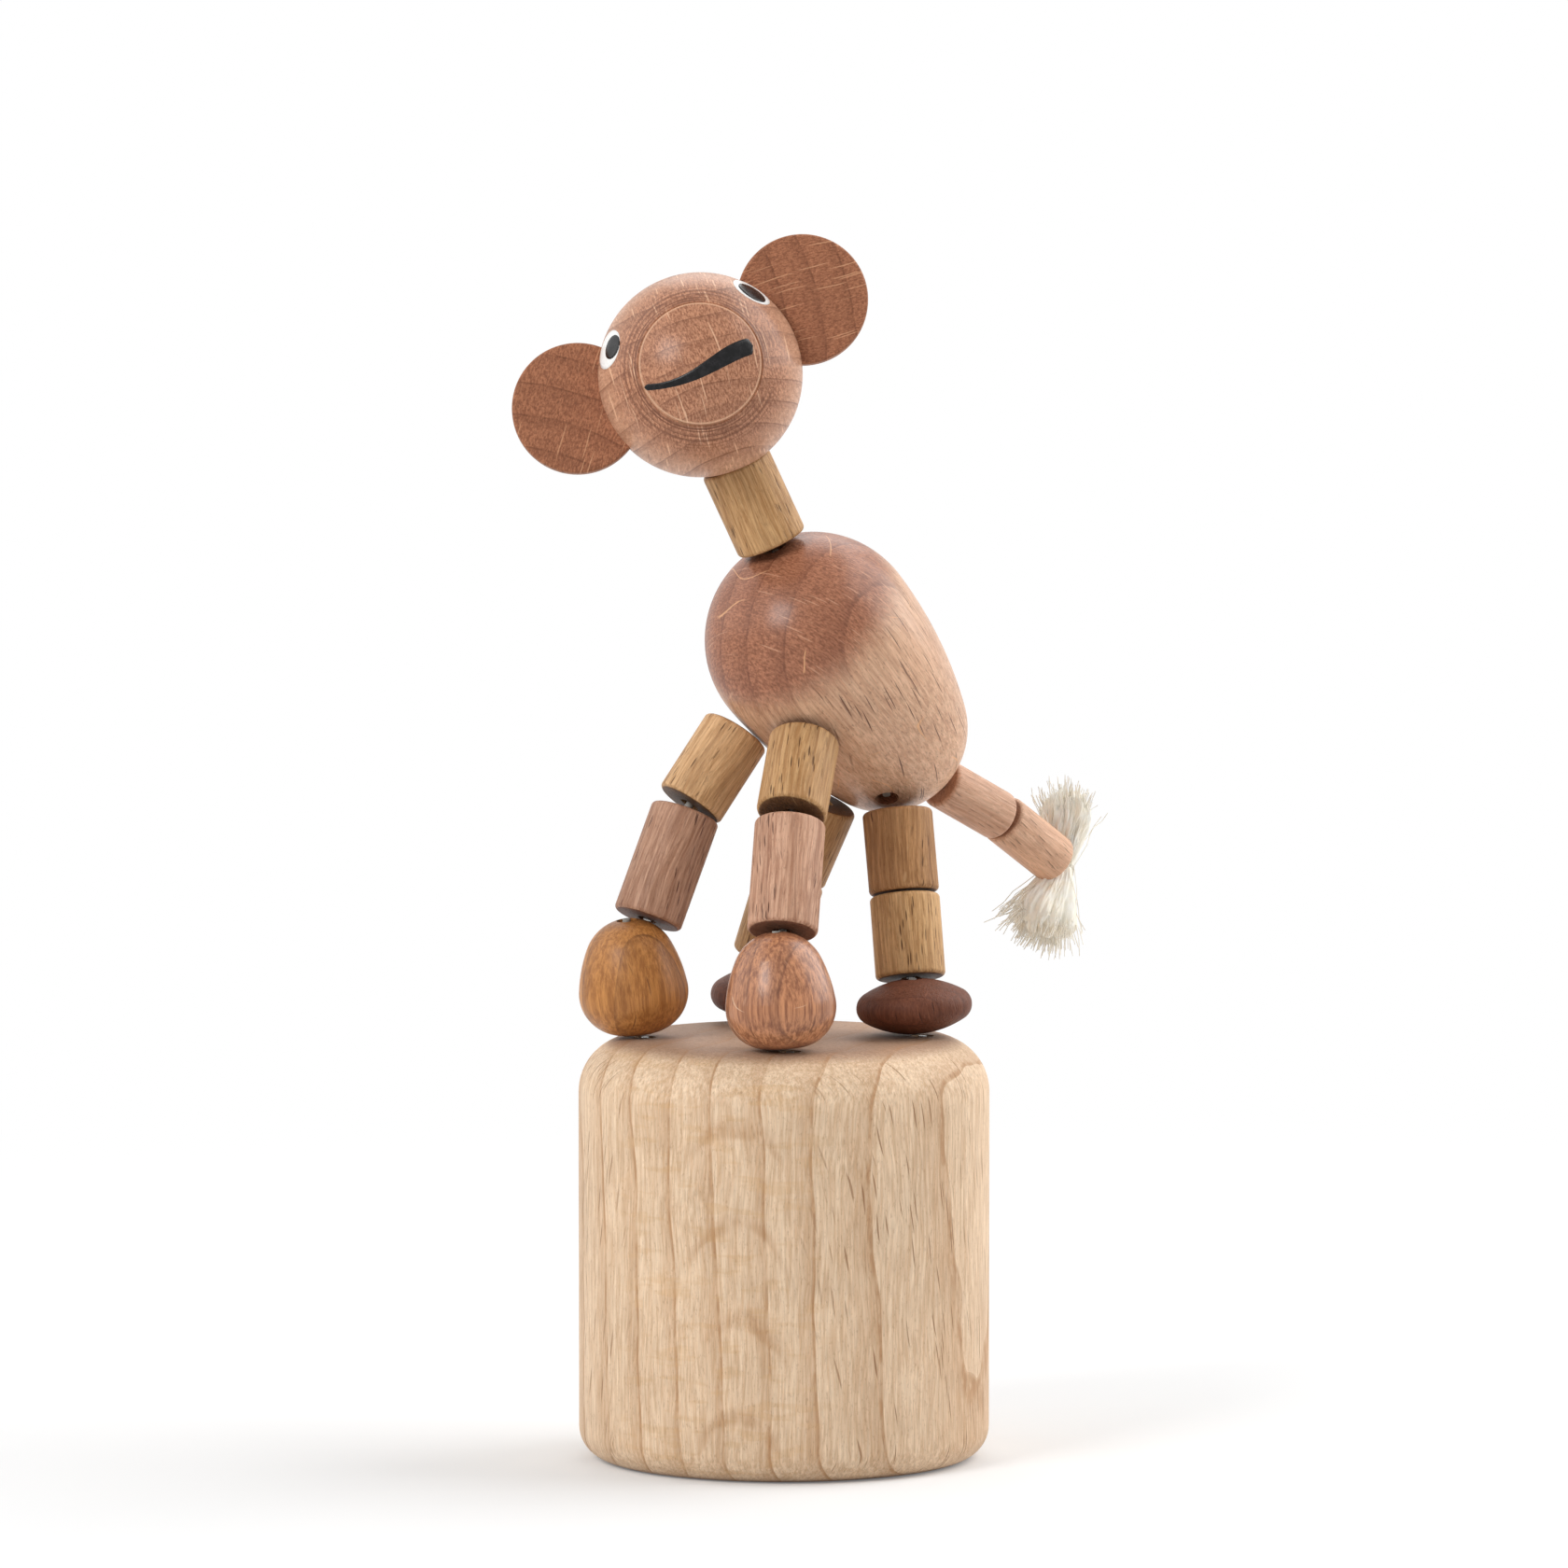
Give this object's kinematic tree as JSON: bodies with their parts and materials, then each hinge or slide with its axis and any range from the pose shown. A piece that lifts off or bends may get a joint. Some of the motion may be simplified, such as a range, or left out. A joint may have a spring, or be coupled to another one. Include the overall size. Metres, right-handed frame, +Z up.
{
  "type": "push puppet",
  "caption": "Wooden monkey push puppet: turned beads strung on nylon line over a drum base; a sprung button under the base slackens the strings.",
  "frame": {"origin": "centre of the base at the plane it stands on", "axes": "+Z up; the monkey faces -Y and its left side is +X"},
  "size_m": [0.045, 0.072, 0.134],
  "materials": {
    "plain_beech": "pale beech, smooth and unvarnished",
    "tan_wood": "yellow-tan stained beech, satin",
    "red_brown_wood": "reddish-brown stained beech, satin",
    "amber_wood": "amber stained beech, satin",
    "dark_wood": "dark reddish-brown stained beech, satin",
    "nylon": "clear nylon line",
    "cotton": "frayed natural cotton yarn",
    "spring_steel": "bright spring wire"
  },
  "bodies": {
    "base": {"base": "plain_beech", "return_spring": "spring_steel", "string_risers": "nylon"},
    "push_button": {"push_button": "plain_beech", "string_knots": "nylon"},
    "left_foot": {"left_foot": "dark_wood", "left_foot_string": "nylon"},
    "left_lower_leg": {"left_lower_leg": "tan_wood", "left_lower_leg_string": "nylon"},
    "left_upper_leg": {"left_upper_leg": "tan_wood", "left_upper_leg_string": "nylon"},
    "left_hand": {"left_hand": "red_brown_wood", "left_hand_string": "nylon"},
    "left_forearm": {"left_forearm": "red_brown_wood", "left_forearm_string": "nylon"},
    "left_upper_arm": {"left_upper_arm": "tan_wood", "left_upper_arm_string": "nylon"},
    "right_foot": {"right_foot": "dark_wood", "right_foot_string": "nylon"},
    "right_lower_leg": {"right_lower_leg": "tan_wood", "right_lower_leg_string": "nylon"},
    "right_upper_leg": {"right_upper_leg": "tan_wood", "right_upper_leg_string": "nylon"},
    "right_hand": {"right_hand": "amber_wood", "right_hand_string": "nylon"},
    "right_forearm": {"right_forearm": "red_brown_wood", "right_forearm_string": "nylon"},
    "right_upper_arm": {"right_upper_arm": "tan_wood", "right_upper_arm_string": "nylon"},
    "body": {"body": "red_brown_wood", "body_strings": "nylon"},
    "neck": {"neck": "tan_wood", "neck_string": "nylon"},
    "head": {"head": "red_brown_wood", "left_ear": "red_brown_wood", "right_ear": "red_brown_wood", "head_string": "nylon"},
    "tail_root": {"tail_root": "red_brown_wood", "tail_root_string": "nylon"},
    "tail_tip": {"tail_tip": "red_brown_wood", "tail_tip_string": "nylon", "tail_tuft": "cotton"}
  },
  "joints": [
    {"name": "button_push", "type": "slide", "parent": "base", "child": "push_button", "axis": [0, 0, 1], "range_m": [0, 0.009], "stiffness_N_per_m": 400, "springref_m": -0.002, "deforming": ["return_spring", "string_risers"]},
    {"name": "left_foot_rock", "type": "hinge", "parent": "base", "child": "left_foot", "pos_m": [0.00975, 0.00994, 0.0465], "axis": [-1, 0, 0], "range_deg": [0, 1]},
    {"name": "left_ankle", "type": "hinge", "parent": "left_foot", "child": "left_lower_leg", "pos_m": [0.0078, 0.01335, 0.05216], "axis": [-1, 0, 0], "range_deg": [0, 11.6]},
    {"name": "left_knee", "type": "hinge", "parent": "left_lower_leg", "child": "left_upper_leg", "pos_m": [0.00575, 0.01673, 0.06106], "axis": [-1, 0, 0], "range_deg": [0, 12]},
    {"name": "right_foot_rock", "type": "hinge", "parent": "base", "child": "right_foot", "pos_m": [-0.01175, 0.01035, 0.0465], "axis": [-1, 0, 0], "range_deg": [0, 5.4]},
    {"name": "right_ankle", "type": "hinge", "parent": "right_foot", "child": "right_lower_leg", "pos_m": [-0.01171, 0.01091, 0.05343], "axis": [-1, 0, 0], "range_deg": [0, 9.4]},
    {"name": "right_knee", "type": "hinge", "parent": "right_lower_leg", "child": "right_upper_leg", "pos_m": [-0.00882, 0.01403, 0.06238], "axis": [-1, 0, 0], "range_deg": [0, 5.8]},
    {"name": "left_hand_rock", "type": "hinge", "parent": "base", "child": "left_hand", "pos_m": [0.01043, -0.00995, 0.0465], "axis": [-1, 0, 0], "range_deg": [0, 1.9]},
    {"name": "left_wrist", "type": "hinge", "parent": "left_hand", "child": "left_forearm", "pos_m": [0.00854, -0.00895, 0.05877], "axis": [-1, 0, 0], "range_deg": [0, 10.4]},
    {"name": "left_elbow", "type": "hinge", "parent": "left_forearm", "child": "left_upper_arm", "pos_m": [0.00582, -0.00166, 0.06951], "axis": [-1, 0, 0], "range_deg": [0, 1]},
    {"name": "right_hand_rock", "type": "hinge", "parent": "base", "child": "right_hand", "pos_m": [-0.01175, -0.01238, 0.0465], "axis": [-1, 0, 0], "range_deg": [0, 7.5]},
    {"name": "right_wrist", "type": "hinge", "parent": "right_hand", "child": "right_forearm", "pos_m": [-0.01142, -0.00954, 0.05899], "axis": [-1, 0, 0], "range_deg": [0, 1]},
    {"name": "right_elbow", "type": "hinge", "parent": "right_forearm", "child": "right_upper_arm", "pos_m": [-0.01094, -0.00112, 0.06954], "axis": [-1, 0, 0], "range_deg": [0, 2.6]},
    {"name": "body_sag", "type": "hinge", "parent": "base", "child": "body", "pos_m": [0, 0.022, 0.12], "axis": [1, 0, 0], "range_deg": [0, 7]},
    {"name": "neck_bend", "type": "hinge", "parent": "body", "child": "neck", "pos_m": [-0.00316, -0.00231, 0.09881], "axis": [0.9567, -0.2909, 0], "range_deg": [0, 14]},
    {"name": "head_nod", "type": "hinge", "parent": "neck", "child": "head", "pos_m": [-0.00537, -0.00588, 0.10766], "axis": [0.9567, -0.2909, 0], "range_deg": [0, 14]},
    {"name": "tail_droop", "type": "hinge", "parent": "body", "child": "tail_root", "pos_m": [0.00081, 0.02598, 0.07478], "axis": [-1, 0, 0], "range_deg": [0, 9]},
    {"name": "tail_tip_droop", "type": "hinge", "parent": "tail_root", "child": "tail_tip", "pos_m": [0.00172, 0.03291, 0.06624], "axis": [-1, 0, 0], "range_deg": [0, 12]}
  ],
  "couplings": [
    {"joint": "left_foot_rock", "follows": "button_push", "rad_per_m": 1.939},
    {"joint": "left_ankle", "follows": "button_push", "rad_per_m": 22.495},
    {"joint": "left_knee", "follows": "button_push", "rad_per_m": 23.271},
    {"joint": "right_foot_rock", "follows": "button_push", "rad_per_m": 10.471},
    {"joint": "right_ankle", "follows": "button_push", "rad_per_m": 18.228},
    {"joint": "right_knee", "follows": "button_push", "rad_per_m": 11.247},
    {"joint": "left_hand_rock", "follows": "button_push", "rad_per_m": 3.684},
    {"joint": "left_wrist", "follows": "button_push", "rad_per_m": 20.168},
    {"joint": "left_elbow", "follows": "button_push", "rad_per_m": 1.939},
    {"joint": "right_hand_rock", "follows": "button_push", "rad_per_m": 14.544},
    {"joint": "right_wrist", "follows": "button_push", "rad_per_m": 1.939},
    {"joint": "right_elbow", "follows": "button_push", "rad_per_m": 5.042},
    {"joint": "body_sag", "follows": "button_push", "rad_per_m": 13.574},
    {"joint": "neck_bend", "follows": "button_push", "rad_per_m": 27.149},
    {"joint": "head_nod", "follows": "button_push", "rad_per_m": 27.149},
    {"joint": "tail_droop", "follows": "button_push", "rad_per_m": 17.453},
    {"joint": "tail_tip_droop", "follows": "button_push", "rad_per_m": 23.271}
  ]
}
